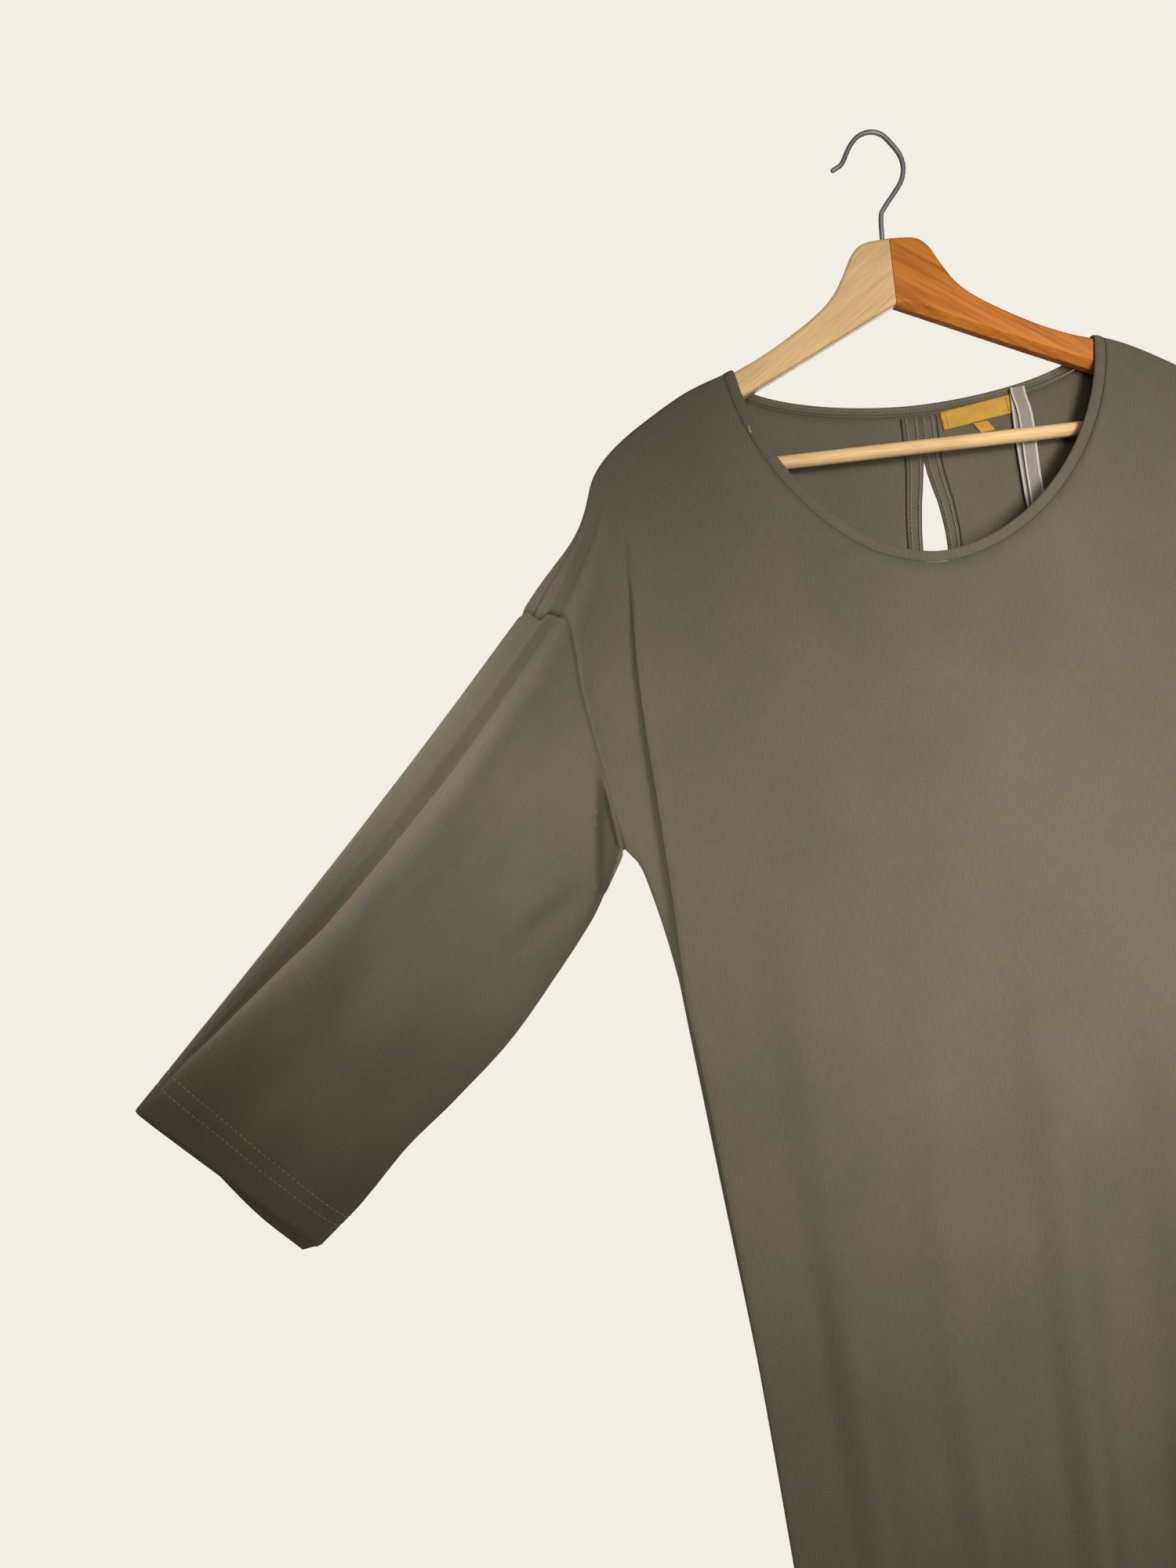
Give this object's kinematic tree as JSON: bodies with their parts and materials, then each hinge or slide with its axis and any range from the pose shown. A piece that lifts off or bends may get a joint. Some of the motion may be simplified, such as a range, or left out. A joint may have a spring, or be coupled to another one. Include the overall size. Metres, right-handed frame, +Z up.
{
  "type": "jersey dress on a wooden hanger",
  "caption": "Straight jersey dress with a scoop neck, dropped shoulders and wide three-quarter sleeves, hung on a two-tone wooden hanger with a crossbar and a wire hook.",
  "frame": {"origin": "inside of the hook, where it rests on a rail", "axes": "+Z up, -Y is the dress's front, +X to the right of someone who looks at the front"},
  "size_m": [1.1596, 0.0743, 1.1004],
  "materials": {
    "jersey": "matt fine jersey",
    "label": "matt woven tape, bare",
    "ribbon": "satin",
    "wood_light": "satin varnish",
    "wood_red": "satin varnish",
    "steel": "plated wire"
  },
  "bodies": {
    "root": {"front": "jersey", "back": "jersey", "sleeve_left": "jersey", "sleeve_right": "jersey", "neckband": "jersey", "slit_facing_left": "jersey", "slit_facing_right": "jersey", "neck_label": "label", "size_tab": "label", "loop_ribbon": "ribbon", "hanger_arm_left": "wood_light", "hanger_arm_right": "wood_red", "crossbar": "wood_light", "hook": "steel"}
  },
  "joints": []
}
